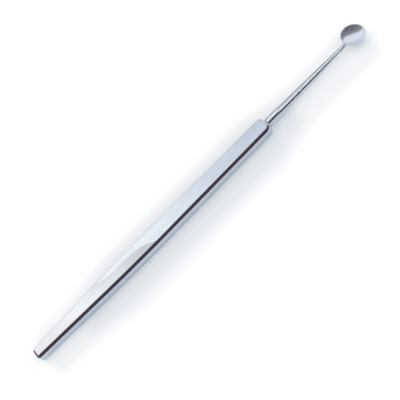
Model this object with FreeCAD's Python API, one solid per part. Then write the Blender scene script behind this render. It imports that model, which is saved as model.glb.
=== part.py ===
import FreeCAD, Part
import math
import os
from FreeCAD import Vector

# Evisceration spoon: a flat bar handle with a slender round shank brazed into its front end,
# which tapers to a neck and a small polished bowl.
# +X runs from the rear of the handle to the tip of the bowl, +Z is the side that the bowl opens to.
# The origin is on the resting plane, half way along the instrument. Millimetres.

# Whole instrument
total_length = 140.0

# Handle, a bar of constant thickness and boat-shaped plan
handle_length = 98.9
handle_thickness = 3.8
rear_width = 4.23
widest_width = 6.80
front_width = 5.85
widest_from_rear = 41.0
side_curve_radius = 500.0
rear_corner_radius = 1.0
front_corner_radius = 1.9
handle_bevel = 0.78
bevel_softening = 0.20

# Tang of the shank and the blind bore that takes it
tang_diameter = 2.0
tang_length = 12.0
tang_chamfer = 0.25
braze_clearance = 0.03
bore_end_clearance = 0.30
drill_point_angle = 118.0

# Shank, turned round about its own axis
seam_groove_width = 0.30
seam_groove_depth = 0.17
collar_diameter = 2.90
collar_length = 5.00
collar_edge_round = 0.06
shank_root_diameter = 2.84
neck_diameter = 1.30
shank_swell = 0.06

# Bowl, with the neck run into its back and its rim dipping towards the tip
bowl_diameter = 7.86
bowl_depth = 2.50
bowl_floor = 0.50
bowl_dip = 7.0
rim_land = 0.24
rim_edge_round = 0.08
neck_blend_radius = 0.90

# Places worked out from the sizes above
rear_x = -total_length / 2
front_x = rear_x + handle_length
axis_z = handle_thickness / 2
bowl_x = total_length / 2 - bowl_diameter / 2
neck_x = bowl_x - bowl_diameter / 2
bowl_tilt = FreeCAD.Rotation(Vector(0, 1, 0), bowl_dip)
rim_normal = bowl_tilt.multVec(Vector(0, 0, 1))
edge_match = 0.001


def tangent_arc(before, corner, after, radius):
    """Return the arc that rounds a corner between two straight sides."""
    to_before = (before - corner).normalize()
    to_after = (after - corner).normalize()
    half_angle = to_before.getAngle(to_after) / 2
    reach = radius / math.tan(half_angle)
    middle = (to_before + to_after).normalize()
    bulge = radius / math.sin(half_angle) - radius
    start = corner + to_before * reach
    end = corner + to_after * reach
    return start, corner + middle * bulge, end


def rounded_outline(corners):
    """Return the closed wire through rounded corners, each given as (x, y, radius)."""
    points = [Vector(x, y, 0) for x, y, radius in corners]
    arcs = []
    for i, (x, y, radius) in enumerate(corners):
        before = points[i - 1]
        after = points[(i + 1) % len(points)]
        arcs.append(tangent_arc(before, points[i], after, radius))
    edges = []
    for i, (start, middle, end) in enumerate(arcs):
        next_start = arcs[(i + 1) % len(arcs)][0]
        edges.append(Part.Arc(start, middle, end).toShape())
        edges.append(Part.LineSegment(end, next_start).toShape())
    return Part.Wire(edges)


def make_handle():
    """Return the flat bar handle with softened bevels and the blind bore for the tang."""
    widest_x = rear_x + widest_from_rear
    near_side = [
        (rear_x, -rear_width / 2, rear_corner_radius),
        (widest_x, -widest_width / 2, side_curve_radius),
        (front_x, -front_width / 2, front_corner_radius),
    ]
    far_side = [(x, -y, radius) for x, y, radius in reversed(near_side)]
    outline = rounded_outline(near_side + far_side)
    bar = Part.Face(outline).extrude(Vector(0, 0, handle_thickness))
    flat_edges = [edge for edge in bar.Edges if edge.BoundBox.ZLength < handle_thickness / 2]
    bar = bar.makeChamfer(handle_bevel, flat_edges)
    bevel_edges = [edge for edge in bar.Edges if edge.BoundBox.ZLength < bevel_softening / 100]
    bar = bar.makeFillet(bevel_softening, bevel_edges)
    return bar.cut(make_tang_bore())


def make_tang_bore():
    """Return the drilled space in the handle, with the cone that a drill leaves at its end."""
    radius = tang_diameter / 2 + braze_clearance
    depth = tang_length + bore_end_clearance
    point_length = radius / math.tan(math.radians(drill_point_angle / 2))
    inwards = Vector(-1, 0, 0)
    drilled = Part.makeCylinder(radius, depth, Vector(front_x, 0, axis_z), inwards)
    point = Part.makeCone(radius, 0, point_length, Vector(front_x - depth, 0, axis_z), inwards)
    return drilled.fuse(point)


def make_turned_shank():
    """Return the tang, seam groove, collar and long taper, turned about the shank's axis."""
    tang_radius = tang_diameter / 2
    collar_radius = collar_diameter / 2
    groove_radius = collar_radius - seam_groove_depth
    root_radius = shank_root_diameter / 2
    neck_radius = neck_diameter / 2
    tang_end_x = front_x - tang_length
    groove_end_x = front_x + seam_groove_width
    collar_end_x = front_x + collar_length
    middle_x = (collar_end_x + neck_x) / 2
    middle_radius = (root_radius + neck_radius) / 2 + shank_swell
    outline = [
        (tang_end_x, 0),
        (tang_end_x, tang_radius - tang_chamfer),
        (tang_end_x + tang_chamfer, tang_radius),
        (front_x, tang_radius),
        (front_x, groove_radius),
        (groove_end_x, groove_radius),
        (groove_end_x, collar_radius - collar_edge_round),
        (groove_end_x + collar_edge_round, collar_radius),
        (collar_end_x - collar_edge_round, collar_radius),
        (collar_end_x, root_radius),
    ]
    points = [Vector(x, 0, axis_z + radius) for x, radius in outline]
    edges = [Part.LineSegment(a, b).toShape() for a, b in zip(points, points[1:])]
    taper_middle = Vector(middle_x, 0, axis_z + middle_radius)
    taper_end = Vector(neck_x, 0, axis_z + neck_radius)
    neck_end = Vector(bowl_x, 0, axis_z + neck_radius)
    centre_end = Vector(bowl_x, 0, axis_z)
    edges.append(Part.Arc(points[-1], taper_middle, taper_end).toShape())
    edges.append(Part.LineSegment(taper_end, neck_end).toShape())
    edges.append(Part.LineSegment(neck_end, centre_end).toShape())
    edges.append(Part.LineSegment(centre_end, points[0]).toShape())
    half_section = Part.Face(Part.Wire(edges))
    return half_section.revolve(Vector(0, 0, axis_z), Vector(1, 0, 0), 360)


def cap_radius(radius_at_rim, depth):
    """Return the radius of the ball that dips to a depth below a circle on the rim plane."""
    return (radius_at_rim ** 2 + depth ** 2) / (2 * depth)


def bowl_placement():
    """Return where the middle of the rim lies, so that the back of the bowl meets the resting plane."""
    back_depth = bowl_depth + bowl_floor
    back_radius = cap_radius(bowl_diameter / 2, back_depth)
    rim_height = back_radius - (back_radius - back_depth) * rim_normal.z
    return FreeCAD.Placement(Vector(bowl_x, 0, rim_height), bowl_tilt)


def ball_under_rim(radius_at_rim, depth):
    """Return the ball that passes through a circle on the rim plane and dips to a depth below it."""
    radius = cap_radius(radius_at_rim, depth)
    ball = Part.makeSphere(radius, Vector(0, 0, radius - depth))
    ball.Placement = bowl_placement()
    return ball


def space_above_rim():
    """Return the block that faces off the bowl and its neck blend at the rim plane."""
    blend_clearance = neck_blend_radius / 2
    reach = bowl_diameter / 2 + neck_blend_radius + blend_clearance
    side = bowl_diameter + 2 * reach
    block = Part.makeBox(side, side, side)
    block.translate(Vector(-reach, -side / 2, 0))
    block.Placement = bowl_placement().multiply(block.Placement)
    return block


def edge_points(edge):
    """Return five points spread evenly along an edge."""
    first, last = edge.ParameterRange
    return [edge.valueAt(first + (last - first) * share / 4) for share in range(5)]


def neck_seam_edges(blank, back_ball):
    """Return the edges of the blank where the shank runs into the back of the bowl."""
    centre = back_ball.BoundBox.Center
    ball_radius = cap_radius(bowl_diameter / 2, bowl_depth + bowl_floor)
    edges = []
    for edge in blank.Edges:
        points = edge_points(edge)
        on_ball = all(
            abs(point.distanceToPoint(centre) - ball_radius) < edge_match for point in points
        )
        by_shank = all(math.hypot(point.y, point.z - axis_z) < neck_diameter for point in points)
        if on_ball and by_shank and edge.BoundBox.Center.x < bowl_x:
            edges.append(edge)
    return edges


def rim_edges(spoon):
    """Return the edges that lie in the rim plane."""
    rim_middle = bowl_placement().Base
    return [
        edge for edge in spoon.Edges
        if all(
            abs((point - rim_middle).dot(rim_normal)) < edge_match for point in edge_points(edge)
        )
    ]


def make_spoon_shank():
    """Return the turned shank with its bowl: ball back blended into the neck, rim faced, dished."""
    outer_radius = bowl_diameter / 2
    back_ball = ball_under_rim(outer_radius, bowl_depth + bowl_floor)
    blank = make_turned_shank().fuse(back_ball).removeSplitter()
    blank = blank.makeFillet(neck_blend_radius, neck_seam_edges(blank, back_ball))
    blank = blank.cut(space_above_rim())
    spoon = blank.cut(ball_under_rim(outer_radius - rim_land, bowl_depth))
    return spoon.makeFillet(rim_edge_round, rim_edges(spoon))


def main():
    os.makedirs("parts", exist_ok=True)
    pieces = {
        "handle": make_handle(),
        "spoon_shank": make_spoon_shank(),
    }
    for node, shape in pieces.items():
        shape.exportStep("parts/" + node + ".step")
        print(node, shape.isValid(), len(shape.Solids), round(shape.Volume, 2))


main()
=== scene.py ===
import math

import bpy
from bpy.props import FloatProperty, FloatVectorProperty, PointerProperty
from bpy.types import Operator, Panel, PropertyGroup
from mathutils import Matrix, Vector

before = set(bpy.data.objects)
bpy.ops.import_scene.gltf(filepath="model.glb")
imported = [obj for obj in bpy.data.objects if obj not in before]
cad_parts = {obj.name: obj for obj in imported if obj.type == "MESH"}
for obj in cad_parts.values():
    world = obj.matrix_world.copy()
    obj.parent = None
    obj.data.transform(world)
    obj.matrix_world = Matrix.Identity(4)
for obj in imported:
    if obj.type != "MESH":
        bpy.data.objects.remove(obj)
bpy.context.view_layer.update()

bl_info = {
    "name": "Evisceration Spoon",
    "version": (1, 0, 0),
    "blender": (4, 5, 0),
    "location": "View3D > Sidebar > Spoon",
    "description": "Dresses an evisceration spoon in satin and polished steel and sets its studio",
    "category": "Object",
}

# Places on the spoon, in metres along it, across it or up, with the far side and the bowl's
# tip on the plus side. A pair says where a finish or a painted shade begins and where it is full.
TOP_FACE = (0.0034, 0.0036)
UNDER_TOP_FACE = (0.00378, 0.00374)
LOWER_EDGE = (0.0013, 0.0009)
FRONT_CORNER = (0.0267, 0.0274)
FRONT_NEAR_SIDE = (-0.0010, -0.0015)
REAR_END = (-0.0691, -0.0694)
COLLAR_START = (0.0289, 0.0290)
COLLAR_END = (0.0339, 0.03385)
COLLAR_NEAR_SIDE = (-0.0005, -0.0007)
COLLAR_TOP = (0.0025, 0.0027)
DISH_MIDDLE = (0.06625, 0.0, 0.00447)
DISH_WALL = (0.00411, 0.00407)

# The painted shade on the handle's top, a darker reflection painted on its near half. Its far
# edge is a curve over the length that the pair gives, with heights from 0 on the near side to 1 on
# the far side.
REFLECTION_LENGTH = (-0.0425, -0.0195)
REFLECTION_EDGE = (
    (0.0, 1.0), (0.05, 0.80), (0.15, 0.67), (0.31, 0.615), (0.62, 0.58), (0.72, 0.53),
    (0.81, 0.433), (0.91, 0.263), (1.0, 0.08))
REFLECTION_REACH = 0.003
REFLECTION_BLUR = (0.00008, -0.00010)
REFLECTION_END = (-0.0195, -0.0200)
REFLECTION_FADE = (-0.0520, -0.0240)

# Noise in turns to the metre along, across and up, and the range of it that is used
BLOTCHES = (90.0, 260.0, 260.0)
CLOUDS = (160.0, 500.0, 500.0)
SPECKS = (1900.0, 1500.0, 1500.0)
SCRATCHES = (9000.0, 9000.0, 9000.0)
CLOUD_RANGE = (0.35, 0.70)
SPECK_RANGE = (0.53, 0.64)
GRAIN_RANGE = (0.3, 0.7)
NOISE_MIDDLE = 0.5
NOISE_SPREAD = 0.16

# Shares and colours that the finishes and the painted shade in the dish use
WAVE_STRETCH = 0.6
HANDLE_DULLNESS = 0.94
SPOON_DULLNESS = 0.93
SMOOTH_GRAIN = 0.75
ROUGH_GRAIN = 1.35
SPECK_SHARE = 0.7
SPECK_ROUGHNESS = 0.15
HAZE_EDGE = 0.01
# The dish's painted shade: its steel is made darker and bluer inside the dish
DISH_SHADE_SHARE = 0.6
DISH_SHADE_COLOUR = (0.72, 0.76, 0.81, 1.0)
BLACK = (0.0, 0.0, 0.0, 1.0)
WHITE = (1.0, 1.0, 1.0, 1.0)

# The painted room. Levels go by degrees from the far horizon over the zenith to the near one.
ROOM_LEVELS = (
    (0, 0.62), (30, 0.56), (48, 0.58), (53, 0.97), (64, 1.0), (67, 0.80), (74, 0.80),
    (82, 1.35), (118, 1.35), (126, 0.0))
OVERHEAD = (64.0, 74.0)
LIT_EDGE = (126.0, 118.0)
OVERHEAD_COLOUR = (0.585, 0.61, 0.665, 1.0)

# Colours by how far a direction points along the spoon, to the rear below 0. The ramps that
# hold them end at the reach on both sides.
ALONG_REACH = 0.5
BRIGHT_ROOM = (
    (-0.30, (1.12, 1.16, 1.24)), (-0.215, (1.25, 1.265, 1.29)), (-0.17, (1.345, 1.36, 1.38)),
    (-0.12, (1.32, 1.385, 1.45)), (-0.063, (1.23, 1.31, 1.40)), (-0.015, (1.07, 1.16, 1.29)),
    (0.034, (0.92, 1.02, 1.16)), (0.082, (0.90, 1.01, 1.18)), (0.20, (0.90, 1.00, 1.16)))
DIM_ROOM = (
    (-0.50, (0.13, 0.14, 0.17)), (-0.28, (0.072, 0.054, 0.076)),
    (0.30, (0.072, 0.054, 0.076)), (0.50, (0.12, 0.12, 0.145)))
RAMP_TOP = 1.5  # brightness that a ramp's full stop stands for

# The painted soft shade that the camera sees on the paper, in metres. The paper's darker seen
# colour and a glow that grows away from the spoon paint it over the real shadow. Its middle line
# runs a little to the near side of the spoon, and it gets weaker along each stretch, towards an
# end. Far from the spoon the glow grows, so that the paper stays white there.
SHADE_OFFSET = 0.0025
SHADE_FADE = (0.0070, 0.0140)
FRONT_STRETCH = (0.024, 0.040)
REAR_STRETCH = (-0.036, -0.056)
END_WIDENING = 0.004
END_MINIMUM = 0.0105
END_PLACE = 0.067
FAR_PAPER = (0.10, 0.60)
FAR_GLOW = 3.0

SENSOR_WIDTH = 36.0
CLIP_START = 0.01


class HandleFinish(PropertyGroup):
    colour: FloatVectorProperty(
        name="Steel colour", description="Colour of the steel seen straight on",
        default=(0.70, 0.70, 0.705), subtype="COLOR", min=0.0, max=1.0)
    roughness: FloatProperty(
        name="Roughness", description="Softness of the satin steel's reflections",
        default=0.13, min=0.0, max=1.0, subtype="FACTOR")
    grain_width: FloatProperty(
        name="Grain width", description="Width of one streak of the lengthwise grain",
        default=0.00016, unit="LENGTH")
    grain_length: FloatProperty(
        name="Grain length", description="Length of one streak of the lengthwise grain",
        default=0.007, unit="LENGTH")
    grain_depth: FloatProperty(
        name="Grain depth", description="Height of the lengthwise grain",
        default=0.0000004, unit="LENGTH")
    wave_length: FloatProperty(
        name="Wave length", description="Distance between the shallow waves left by hand grinding",
        default=0.016, unit="LENGTH")
    wave_depth: FloatProperty(
        name="Wave depth", description="Height of the shallow waves left by hand grinding",
        default=0.00001, unit="LENGTH")
    # Painted shade along the lower edge of the sides, standing for the reflection of the contact
    # shadow
    contact_reflection_shade: FloatProperty(
        name="Contact reflection shade", description="Darkening along the lower edge of the sides",
        default=0.40, min=0.0, max=1.0, subtype="FACTOR")
    # Painted shade: a darker reflection painted on the near half of the top
    reflection_shade: FloatProperty(
        name="Reflection shade",
        description="Darkening of the buffed place on the near half of the top",
        default=0.28, min=0.0, max=1.0, subtype="FACTOR")
    corner_lean: FloatProperty(
        name="Corner lean", description="How far the front corner's shine leans to the near side",
        default=math.radians(20.0), subtype="ANGLE")
    rear_lean: FloatProperty(
        name="Rear lean", description="How far the rear end's shine leans to the near side",
        default=math.radians(38.0), subtype="ANGLE")
    rear_lift: FloatProperty(
        name="Rear lift", description="How far the rear end's shine leans upwards",
        default=math.radians(27.0), subtype="ANGLE")


class SpoonFinish(PropertyGroup):
    colour: FloatVectorProperty(
        name="Steel colour", description="Colour of the steel seen straight on",
        default=(0.70, 0.70, 0.705), subtype="COLOR", min=0.0, max=1.0)
    roughness: FloatProperty(
        name="Roughness", description="Softness of the polished steel's reflections",
        default=0.12, min=0.0, max=1.0, subtype="FACTOR")
    haze_share: FloatProperty(
        name="Haze share", description="Share of the surface that fine scratches leave hazy",
        default=0.20, min=0.0, max=1.0, subtype="FACTOR")
    haze_roughness: FloatProperty(
        name="Haze roughness", description="Roughness of the hazy part of the surface",
        default=0.60, min=0.0, max=1.0, subtype="FACTOR")
    turning_pitch: FloatProperty(
        name="Turning pitch", description="Distance between the turning marks round the shank",
        default=0.00025, unit="LENGTH")
    turning_depth: FloatProperty(
        name="Turning depth", description="Depth of the turning marks round the shank",
        default=0.0000006, unit="LENGTH")
    heat_colour: FloatVectorProperty(
        name="Heat colour",
        description="Colour of the specks that brazing heat left on the collar",
        default=(0.66, 0.45, 0.34), subtype="COLOR", min=0.0, max=1.0)
    collar_lean: FloatProperty(
        name="Collar lean",
        description="How far the dressed collar's shine leans to the near side",
        default=math.radians(11.0), subtype="ANGLE")
    dish_lean: FloatProperty(
        name="Dish lean", description="How far the polished dish's shine leans to the near side",
        default=math.radians(22.0), subtype="ANGLE")
    dish_haze: FloatProperty(
        name="Dish haze", description="Added share of the dish that fine scratches leave hazy",
        default=0.30, min=0.0, max=1.0, subtype="FACTOR")
    dish_calm: FloatProperty(
        name="Dish calm", description="How much flatter than its wall the dish shines",
        default=0.70, min=0.0, max=1.0, subtype="FACTOR")


class StudioSettings(PropertyGroup):
    camera_elevation: FloatProperty(
        name="Camera elevation", description="Height of the view above the horizon",
        default=math.radians(56.0), subtype="ANGLE")
    camera_roll: FloatProperty(
        name="Camera roll", description="Turn of the picture that lays the spoon on its diagonal",
        default=math.radians(-45.32), subtype="ANGLE")
    camera_distance: FloatProperty(
        name="Camera distance", description="From the lens to the point that it looks at",
        default=0.300, unit="LENGTH")
    camera_target: FloatVectorProperty(
        name="Camera target", description="Point at the middle of the picture",
        default=(-0.0019, -0.00145, 0.000845), subtype="TRANSLATION")
    picture_width: FloatProperty(
        name="Picture width", description="Width that the picture covers at the spoon",
        default=0.12104, unit="LENGTH")
    floor_size: FloatProperty(
        name="Floor size", description="Side of the square floor",
        default=1.6, unit="LENGTH")
    floor_colour: FloatVectorProperty(
        name="Floor colour", description="Colour of the paper that the spoon lies on",
        default=(0.90, 0.91, 0.95), subtype="COLOR", min=0.0, max=1.0)
    # The seen colour and the glow below paint a soft shade round the spoon, over its real shadow
    floor_seen: FloatVectorProperty(
        name="Floor seen",
        description="Colour of the same paper for the camera, before the glow is added",
        default=(0.74, 0.59, 0.49), subtype="COLOR", min=0.0, max=1.0)
    floor_glow: FloatVectorProperty(
        name="Floor glow", description="Light that lifts the seen paper beside the spoon",
        default=(0.177, 0.282, 0.359), subtype="COLOR", min=0.0, max=1.0)
    floor_white: FloatVectorProperty(
        name="Floor white",
        description="The same light away from the spoon, where it adds up to white",
        default=(0.367, 0.452, 0.499), subtype="COLOR", min=0.0, max=1.0)
    floor_glint: FloatProperty(
        name="Floor glint", description="Share of that light that the steel reflects",
        default=0.25, min=0.0, max=1.0, subtype="FACTOR")
    near_power: FloatProperty(
        name="Near power", description="Power in watts of the low fill light on the near side",
        default=2.7, min=0.0, unit="POWER")
    far_power: FloatProperty(
        name="Far power", description="Power in watts of the low fill light on the far side",
        default=1.3, min=0.0, unit="POWER")
    fill_colour: FloatVectorProperty(
        name="Fill colour", description="Colour of the fill lights",
        default=(0.70, 0.88, 1.0), subtype="COLOR", min=0.0, max=1.0)
    fill_length: FloatProperty(
        name="Fill length", description="Length of each fill light along the spoon",
        default=1.20, unit="LENGTH")
    fill_height: FloatProperty(
        name="Fill height", description="Upright size of each fill light",
        default=0.42, unit="LENGTH")
    fill_distance: FloatProperty(
        name="Fill distance", description="From the spoon to each fill light",
        default=0.60, unit="LENGTH")
    fill_elevation: FloatProperty(
        name="Fill elevation", description="Height of the fill lights above the horizon",
        default=math.radians(21.0), subtype="ANGLE")
    room_level: FloatProperty(
        name="Room level", description="Brightness of the room's light",
        default=1.0, min=0.0)
    room_slant: FloatProperty(
        name="Room slant", description="Turn of the room's light edges from one side to the other",
        default=math.radians(30.0), subtype="ANGLE")


def dress(node, material):
    """Give a CAD node's slots the material."""
    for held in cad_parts[node].material_slots:
        held.material = material


def add_node(tree, kind, inputs=None, **settings):
    """Add a shader node, each input set to a value or linked to a socket."""
    made = tree.nodes.new("ShaderNode" + kind)
    for name, value in settings.items():
        setattr(made, name, value)
    for name, value in (inputs or {}).items():
        if isinstance(value, bpy.types.NodeSocket):
            tree.links.new(value, made.inputs[name])
        else:
            made.inputs[name].default_value = value
    return made


def add_math(tree, operation, first, second=0.0, third=0.0):
    """Work out a number from up to three others."""
    made = add_node(tree, "Math", {0: first, 1: second, 2: third}, operation=operation)
    return made.outputs[0]


def add_product(tree, first, *others):
    """Multiply numbers."""
    product = first
    for other in others:
        product = add_math(tree, "MULTIPLY", product, other)
    return product


def add_range(tree, value, low, high, to_low=0.0, to_high=1.0):
    """Map a range of a number to another, and hold it at both ends."""
    made = add_node(tree, "MapRange", {
        "Value": value, "From Min": low, "From Max": high, "To Min": to_low, "To Max": to_high})
    return made.outputs["Result"]


def add_ramp(tree, share, stops, interpolation="LINEAR"):
    """Add a colour ramp over (position, colour) stops."""
    made = add_node(tree, "ValToRGB", {"Fac": share})
    ramp = made.color_ramp
    ramp.interpolation = interpolation
    while len(ramp.elements) > 1:
        ramp.elements.remove(ramp.elements[-1])
    for i, (where, colour) in enumerate(stops):
        stop = ramp.elements[0] if i == 0 else ramp.elements.new(where)
        stop.position = where
        stop.color = (*colour, 1.0)
    return made.outputs["Color"]


def add_mix(tree, share, first, second):
    """Mix two colours by a share."""
    made = add_node(tree, "Mix", data_type="RGBA")
    for name, value in (("Factor_Float", share), ("A_Color", first), ("B_Color", second)):
        socket = next(s for s in made.inputs if s.identifier == name)
        if isinstance(value, bpy.types.NodeSocket):
            tree.links.new(value, socket)
        else:
            socket.default_value = value
    return next(s for s in made.outputs if s.identifier == "Result_Color")


def add_noise(tree, place, scale, detail=3.0):
    """Add noise with its own scale along each axis."""
    mapped = add_node(tree, "Mapping", {"Vector": place, "Scale": scale})
    made = add_node(
        tree, "TexNoise", {"Vector": mapped.outputs[0], "Scale": 1.0, "Detail": detail})
    return made.outputs["Fac"]


def add_bump(tree, height, depth, normal):
    """Raise a surface by a height from 0 to 1 times a depth."""
    made = add_node(tree, "Bump", {
        "Height": height, "Distance": depth, "Strength": 1.0, "Normal": normal})
    return made.outputs[0]


def leaned_normal(tree, sideways, upwards):
    """Lean the shine, and not the shape, by a slope across the spoon and a slope upwards."""
    facing = add_node(tree, "NewGeometry").outputs["Normal"]
    slope = add_node(tree, "CombineXYZ", {"Y": sideways, "Z": upwards}).outputs[0]
    leaning = add_node(tree, "VectorMath", {0: facing, 1: slope}, operation="ADD")
    leaning = add_node(tree, "VectorMath", {0: leaning.outputs[0]}, operation="NORMALIZE")
    return leaning.outputs[0]


def cloudy_steel(tree, place, finish, scale, dullness):
    """Vary the steel's colour in soft clouds between its own and a duller one."""
    clouds = add_noise(tree, place, scale, detail=2.0)
    light_steel = (*finish.colour, 1.0)
    dull_steel = (*(dullness * channel for channel in finish.colour), 1.0)
    return add_mix(tree, add_range(tree, clouds, *CLOUD_RANGE), light_steel, dull_steel)


def steel(name):
    """Start a steel material and return it with its tree, shader, place and axes."""
    material = bpy.data.materials.new(name)
    material.use_nodes = True
    tree = material.node_tree
    shader = tree.nodes["Principled BSDF"]
    shader.inputs["Metallic"].default_value = 1.0
    place = add_node(tree, "TexCoord").outputs["Object"]
    axes = add_node(tree, "SeparateXYZ", {0: place})
    return material, tree, shader, place, axes.outputs


def satin_steel(finish):
    """Ground and satin-finished bar steel with a lengthwise grain, and painted shade on the top
    and lower edges.
    """
    material, tree, shader, place, (along, across, up) = steel("satin_steel_handle")

    # The painted shade, a darker reflection, lies on the near side of its edge
    edge_share = add_range(tree, along, *REFLECTION_LENGTH)
    edge_stops = [(share, (height,) * 3) for share, height in REFLECTION_EDGE]
    edge_height = add_ramp(tree, edge_share, edge_stops, "CARDINAL")
    edge_across = add_range(tree, edge_height, 0.0, 1.0, -REFLECTION_REACH, REFLECTION_REACH)
    over_edge = add_math(tree, "SUBTRACT", across, edge_across)
    painted_reflection = add_product(
        tree, add_range(tree, over_edge, *REFLECTION_BLUR), add_range(tree, along, *REFLECTION_END),
        add_range(tree, up, *TOP_FACE),
        add_range(tree, along, *REFLECTION_FADE, 0.0, finish.reflection_shade))
    # Painted shade along the lower edge of the sides, for the reflection of the contact shadow
    contact_reflection = add_range(tree, up, *LOWER_EDGE, 0.0, finish.contact_reflection_shade)
    painted_shade = add_math(tree, "MAXIMUM", painted_reflection, contact_reflection)
    cloudy = cloudy_steel(tree, place, finish, BLOTCHES, HANDLE_DULLNESS)
    tree.links.new(add_mix(tree, painted_shade, cloudy, BLACK), shader.inputs["Base Color"])

    grain = add_noise(
        tree, place,
        (1 / finish.grain_length, 1 / finish.grain_width, 1 / finish.grain_width))
    rough = add_range(
        tree, grain, *GRAIN_RANGE,
        SMOOTH_GRAIN * finish.roughness, ROUGH_GRAIN * finish.roughness)
    tree.links.new(rough, shader.inputs["Roughness"])

    # The shine of the near front corner's bevel and of the rear end leans to the near side
    under_top = add_range(tree, up, *UNDER_TOP_FACE)
    at_front = add_product(
        tree, add_range(tree, along, *FRONT_CORNER), add_range(tree, across, *FRONT_NEAR_SIDE),
        under_top)
    at_rear = add_product(tree, add_range(tree, along, *REAR_END), under_top)
    lean = add_math(
        tree, "ADD", add_product(tree, at_front, -math.tan(finish.corner_lean)),
        add_product(tree, at_rear, -math.tan(finish.rear_lean)))
    lift = add_product(tree, at_rear, math.tan(finish.rear_lift))

    waves = add_noise(
        tree, place,
        (WAVE_STRETCH / finish.wave_length, 1 / finish.wave_length, 1 / finish.wave_length),
        detail=1.0)
    wavy = add_bump(tree, waves, finish.wave_depth, leaned_normal(tree, lean, lift))
    grained = add_bump(tree, grain, finish.grain_depth, wavy)
    tree.links.new(grained, shader.inputs["Normal"])
    return material


def polished_steel(finish):
    """Polished steel with turning marks, a fine haze, heat specks on the collar and a painted
    shade in the dish.
    """
    material, tree, shader, place, (along, across, up) = steel("polished_steel_spoon")

    on_collar = add_product(
        tree, add_range(tree, along, *COLLAR_START), add_range(tree, along, *COLLAR_END))
    from_middle = add_node(
        tree, "VectorMath", {0: place, 1: DISH_MIDDLE}, operation="DISTANCE").outputs["Value"]
    in_dish = add_range(tree, from_middle, *DISH_WALL)

    specks = add_noise(tree, place, SPECKS, detail=1.0)
    speckled = add_product(
        tree, add_range(tree, specks, *SPECK_RANGE), on_collar,
        add_range(tree, across, *COLLAR_NEAR_SIDE), add_range(tree, up, *COLLAR_TOP))
    cloudy = cloudy_steel(tree, place, finish, CLOUDS, SPOON_DULLNESS)
    colour = add_mix(
        tree, add_product(tree, speckled, SPECK_SHARE), cloudy, (*finish.heat_colour, 1.0))
    # Painted shade: inside the dish the steel is made darker and bluer
    colour = add_mix(tree, add_product(tree, in_dish, DISH_SHADE_SHARE), colour, DISH_SHADE_COLOUR)
    tree.links.new(colour, shader.inputs["Base Color"])

    scratches = add_noise(tree, place, SCRATCHES, detail=1.0)
    scratches = add_math(
        tree, "MULTIPLY_ADD", in_dish, 2 * NOISE_SPREAD * finish.dish_haze, scratches)
    hazy_level = NOISE_MIDDLE + NOISE_SPREAD * (1 - 2 * finish.haze_share)
    hazy = add_range(
        tree, scratches, hazy_level - HAZE_EDGE, hazy_level + HAZE_EDGE,
        finish.roughness, finish.haze_roughness)
    rough = add_math(tree, "MULTIPLY_ADD", speckled, SPECK_ROUGHNESS, hazy)
    tree.links.new(rough, shader.inputs["Roughness"])

    # The shine of the collar and of the dish leans a little to the near side
    lean = add_math(
        tree, "ADD", add_product(tree, on_collar, -math.tan(finish.collar_lean)),
        add_product(tree, in_dish, -math.tan(finish.dish_lean) * (1 + finish.dish_calm)))
    lift = add_product(tree, in_dish, finish.dish_calm)

    rings = add_noise(tree, place, (1 / finish.turning_pitch, 0.0, 0.0), detail=2.0)
    turned = add_bump(tree, rings, finish.turning_depth, leaned_normal(tree, lean, lift))
    tree.links.new(turned, shader.inputs["Normal"])
    return material


def ramp_share(where):
    """Return where a place along the spoon falls on a ramp from end to end of the reach."""
    return (where + ALONG_REACH) / (2 * ALONG_REACH)


def room_world(studio):
    """Light the spoon by a room: a bright far wall and ceiling, and a dark near side."""
    world = bpy.data.worlds.new("room")
    bpy.context.scene.world = world
    world.use_nodes = True
    tree = world.node_tree
    tree.nodes.clear()
    towards = add_node(tree, "TexCoord").outputs["Generated"]
    along, across, up = add_node(tree, "SeparateXYZ", {0: towards}).outputs

    # Angle from the far horizon over the zenith to the near horizon, as a share of half a turn
    angle = add_math(tree, "ARCTAN2", up, across)
    angle = add_math(tree, "MULTIPLY_ADD", along, -studio.room_slant, angle)
    share = add_range(tree, angle, 0.0, math.pi)
    level = add_ramp(tree, share, [
        (degrees / 180, (value / RAMP_TOP,) * 3) for degrees, value in ROOM_LEVELS])

    side = add_range(tree, along, -ALONG_REACH, ALONG_REACH)
    bright = add_ramp(tree, side, [
        (ramp_share(where), tuple(channel / RAMP_TOP for channel in colour))
        for where, colour in BRIGHT_ROOM])
    overhead = add_range(tree, angle, *map(math.radians, OVERHEAD))
    bright = add_mix(tree, overhead, bright, OVERHEAD_COLOUR)
    wall = add_node(tree, "VectorMath", {0: level, 1: bright}, operation="MULTIPLY").outputs[0]
    wall = add_node(
        tree, "VectorMath", {0: wall, "Scale": RAMP_TOP * RAMP_TOP}, operation="SCALE").outputs[0]

    dim = add_ramp(tree, side, [(ramp_share(where), colour) for where, colour in DIM_ROOM])
    lit = add_range(tree, angle, *map(math.radians, LIT_EDGE))
    room_colour = add_mix(tree, lit, dim, wall)
    room = add_node(tree, "Background", {"Color": room_colour, "Strength": studio.room_level})
    white = add_node(tree, "Background", {"Color": WHITE, "Strength": 1.0})
    seen = add_node(tree, "LightPath").outputs["Is Camera Ray"]
    both = add_node(tree, "MixShader", {0: seen, 1: room.outputs[0], 2: white.outputs[0]})
    add_node(tree, "OutputWorld", {"Surface": both.outputs[0]})


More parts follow.
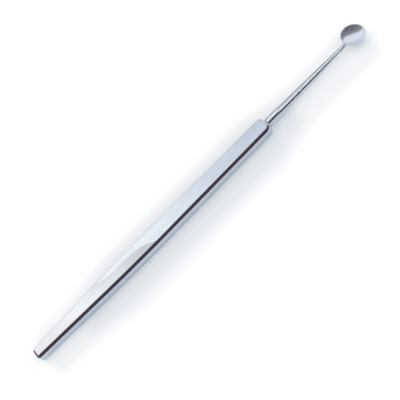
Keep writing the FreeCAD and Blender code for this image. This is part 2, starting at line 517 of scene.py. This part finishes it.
def floor_paper(studio):
    """Matt white paper, which the camera sees with a painted soft shade, over the real shadow,
    that ends in pure white.
    """
    material = bpy.data.materials.new("floor_paper")
    material.use_nodes = True
    tree = material.node_tree
    tree.nodes.clear()
    rays = add_node(tree, "LightPath").outputs
    seen = rays["Is Camera Ray"]
    colour = add_mix(tree, seen, (*studio.floor_colour, 1.0), (*studio.floor_seen, 1.0))
    paper = add_node(tree, "BsdfDiffuse", {"Color": colour})

    # Distance from the middle of the painted shade, made larger along the shank and at the rear,
    # where the painted shade is weaker, and past both ends
    place = add_node(tree, "TexCoord").outputs["Object"]
    along, across, _ = add_node(tree, "SeparateXYZ", {0: place}).outputs
    beside = add_math(tree, "ABSOLUTE", add_math(tree, "ADD", across, SHADE_OFFSET))
    at_ends = add_math(
        tree, "MAXIMUM", add_range(tree, along, *FRONT_STRETCH),
        add_range(tree, along, *REAR_STRETCH))
    distance = add_math(tree, "MULTIPLY_ADD", at_ends, END_WIDENING, beside)
    distance = add_math(tree, "MAXIMUM", distance, add_product(tree, at_ends, END_MINIMUM))
    from_centre = add_math(tree, "ABSOLUTE", along)
    past_ends = add_math(
        tree, "MAXIMUM", add_math(tree, "SUBTRACT", from_centre, END_PLACE), 0.0)
    distance = add_math(tree, "ADD", distance, past_ends)

    # The steel reflects a share of the glow too
    away = add_range(tree, distance, *SHADE_FADE)
    glow_colour = add_mix(tree, away, (*studio.floor_glow, 1.0), (*studio.floor_white, 1.0))
    glow_level = add_range(tree, distance, *FAR_PAPER, 1.0, FAR_GLOW)
    glow_share = add_math(
        tree, "MULTIPLY_ADD", rays["Is Glossy Ray"], studio.floor_glint, seen)
    glow = add_node(tree, "Emission", {
        "Color": glow_colour, "Strength": add_product(tree, glow_share, glow_level)})
    surface = add_node(tree, "AddShader", {0: paper.outputs[0], 1: glow.outputs[0]})
    add_node(tree, "OutputMaterial", {"Surface": surface.outputs[0]})
    return material


class SPOON_OT_finish_handle(Operator):
    """Give the handle its satin steel"""
    bl_idname = "spoon.finish_handle"
    bl_label = "Finish handle"

    def execute(self, context):
        dress("handle", satin_steel(context.scene.handle_finish))
        return {"FINISHED"}


class SPOON_OT_finish_spoon(Operator):
    """Give the shank and bowl their polished steel"""
    bl_idname = "spoon.finish_spoon"
    bl_label = "Finish shank and bowl"

    def execute(self, context):
        dress("spoon_shank", polished_steel(context.scene.spoon_finish))
        return {"FINISHED"}


class SPOON_OT_stage(Operator):
    """Lay the white floor and set the studio's light and camera"""
    bl_idname = "spoon.stage"
    bl_label = "Stage"

    def execute(self, context):
        studio = context.scene.spoon_studio
        bpy.ops.object.select_all(action="DESELECT")
        bpy.ops.mesh.primitive_plane_add(size=studio.floor_size)
        floor = context.active_object
        floor.name = "floor"
        floor.data.materials.append(floor_paper(studio))
        room_world(studio)

        fill_tilt = math.pi / 2 - studio.fill_elevation
        for name, side, power in (
                ("near_fill", 1, studio.near_power), ("far_fill", -1, studio.far_power)):
            fill_turn = Matrix.Rotation(side * fill_tilt, 4, "X")
            fill_place = fill_turn @ Vector((0, 0, studio.fill_distance))
            bpy.ops.object.light_add(type="AREA")
            fill = context.active_object
            fill.name = name
            fill.data.shape = "RECTANGLE"
            fill.data.size = studio.fill_length
            fill.data.size_y = studio.fill_height
            fill.data.energy = power
            fill.data.color = studio.fill_colour
            fill.visible_glossy = False
            fill.matrix_world = Matrix.Translation(fill_place) @ fill_turn

        bpy.ops.object.camera_add()
        camera = context.active_object
        camera.name = "camera"
        camera.data.sensor_width = SENSOR_WIDTH
        camera.data.lens = SENSOR_WIDTH * studio.camera_distance / studio.picture_width
        camera.data.clip_start = CLIP_START
        tilt = math.pi / 2 - studio.camera_elevation
        turn = Matrix.Rotation(tilt, 4, "X") @ Matrix.Rotation(studio.camera_roll, 4, "Z")
        back = turn @ Vector((0, 0, studio.camera_distance))
        place = Vector(studio.camera_target) + back
        camera.matrix_world = Matrix.Translation(place) @ turn
        context.scene.camera = camera
        context.scene.view_settings.view_transform = "Standard"
        return {"FINISHED"}


class SPOON_PT_panel(Panel):
    """Steps that dress the spoon, in order"""
    bl_idname = "SPOON_PT_panel"
    bl_label = "Evisceration spoon"
    bl_space_type = "VIEW_3D"
    bl_region_type = "UI"
    bl_category = "Spoon"

    def draw(self, context):
        steps = (
            (SPOON_OT_finish_handle, context.scene.handle_finish),
            (SPOON_OT_finish_spoon, context.scene.spoon_finish),
            (SPOON_OT_stage, context.scene.spoon_studio),
        )
        for step, settings in steps:
            box = self.layout.box()
            for name in settings.__annotations__:
                box.prop(settings, name)
            box.operator(step.bl_idname)


CLASSES = (
    HandleFinish, SpoonFinish, StudioSettings,
    SPOON_OT_finish_handle, SPOON_OT_finish_spoon, SPOON_OT_stage, SPOON_PT_panel,
)


def register():
    for item in CLASSES:
        bpy.utils.register_class(item)
    bpy.types.Scene.handle_finish = PointerProperty(type=HandleFinish)
    bpy.types.Scene.spoon_finish = PointerProperty(type=SpoonFinish)
    bpy.types.Scene.spoon_studio = PointerProperty(type=StudioSettings)


def unregister():
    del bpy.types.Scene.spoon_studio
    del bpy.types.Scene.spoon_finish
    del bpy.types.Scene.handle_finish
    for item in reversed(CLASSES):
        bpy.utils.unregister_class(item)


def main():
    register()
    bpy.ops.spoon.finish_handle()
    bpy.ops.spoon.finish_spoon()
    bpy.ops.spoon.stage()


if __name__ == "__main__":
    main()
